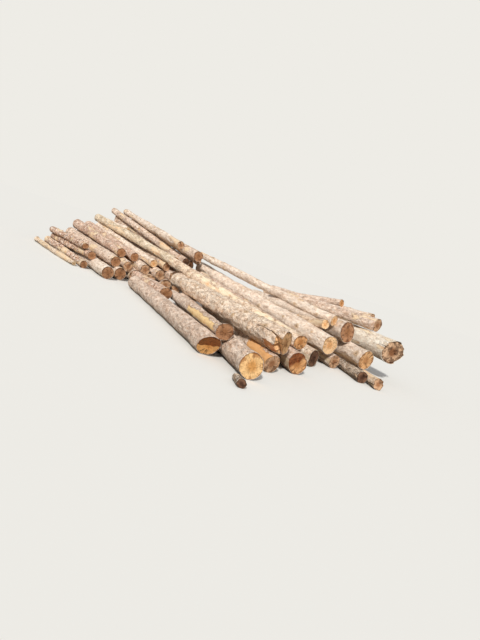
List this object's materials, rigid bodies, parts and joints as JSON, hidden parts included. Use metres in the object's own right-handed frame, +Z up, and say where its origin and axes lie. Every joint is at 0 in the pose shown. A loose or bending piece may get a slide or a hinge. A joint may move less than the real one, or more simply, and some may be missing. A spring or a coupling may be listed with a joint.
{
  "type": "stack of logs",
  "caption": "Open-air heap of felled round logs of mixed thickness, laid lengthwise in layers, bark partly peeled, with sawn ends staggered along one end.",
  "frame": {"origin": "centre of the bounding box on the ground plane", "axes": "+X along the logs towards the staggered sawn ends of the front group, +Y across the stack to the right seen from those ends' side, +Z up"},
  "size_m": [11.4562, 6.654, 1.6625],
  "materials": {
    "smooth_bark": "dry grey-pink bark worn smooth, with golden sawn ends",
    "rough_bark": "flaky brown bark, with tan sawn ends",
    "dark_bark": "dark weathered bark, with brown sawn ends",
    "peeled_wood": "pale stripped wood with ragged strips of inner bark"
  },
  "bodies": {
    "root": {"back_base_log_1": "rough_bark", "back_base_log_2": "rough_bark", "back_base_log_3": "rough_bark", "back_base_log_4": "rough_bark", "back_base_log_5": "rough_bark", "back_flank_log": "peeled_wood", "back_fourth_log_1": "rough_bark", "back_fourth_log_2": "rough_bark", "back_fourth_log_3": "rough_bark", "back_left_ground_log": "rough_bark", "back_second_ground_log": "rough_bark", "back_second_log_1": "rough_bark", "back_second_log_2": "rough_bark", "back_second_log_3": "rough_bark", "back_second_log_4": "rough_bark", "back_second_log_5": "rough_bark", "back_shaded_log": "dark_bark", "back_third_log_1": "rough_bark", "back_third_log_2": "rough_bark", "bearer_log": "dark_bark", "branchy_log_2": "dark_bark", "branchy_log_3": "dark_bark", "brown_end_log": "dark_bark", "cracked_end_log": "smooth_bark", "dark_end_back_log": "smooth_bark", "dark_end_ground_log": "smooth_bark", "front_ground_log": "smooth_bark", "green_back_log": "peeled_wood", "inner_ground_log_1": "dark_bark", "inner_ground_log_2": "dark_bark", "left_ground_log": "smooth_bark", "long_crooked_log": "peeled_wood", "long_smooth_log": "smooth_bark", "outer_branchy_log": "dark_bark", "outer_thin_log": "peeled_wood", "pale_end_log": "peeled_wood", "pale_ragged_log": "peeled_wood", "red_end_ground_log": "smooth_bark", "reddish_back_log": "rough_bark", "reddish_flank_log": "rough_bark", "reddish_inner_log": "rough_bark", "right_base_log": "smooth_bark", "right_ground_log": "peeled_wood", "right_second_log": "rough_bark", "rough_end_log": "smooth_bark", "shaded_ground_log": "dark_bark", "short_billet": "dark_bark", "split_butt_log": "rough_bark", "stub_end_log": "rough_bark", "thin_back_log": "peeled_wood", "top_back_log": "smooth_bark", "top_thin_log": "smooth_bark", "torn_bark_ground_log": "rough_bark", "upper_butt_log": "smooth_bark", "upper_right_log": "smooth_bark", "upper_thin_log": "smooth_bark"}
  },
  "joints": []
}
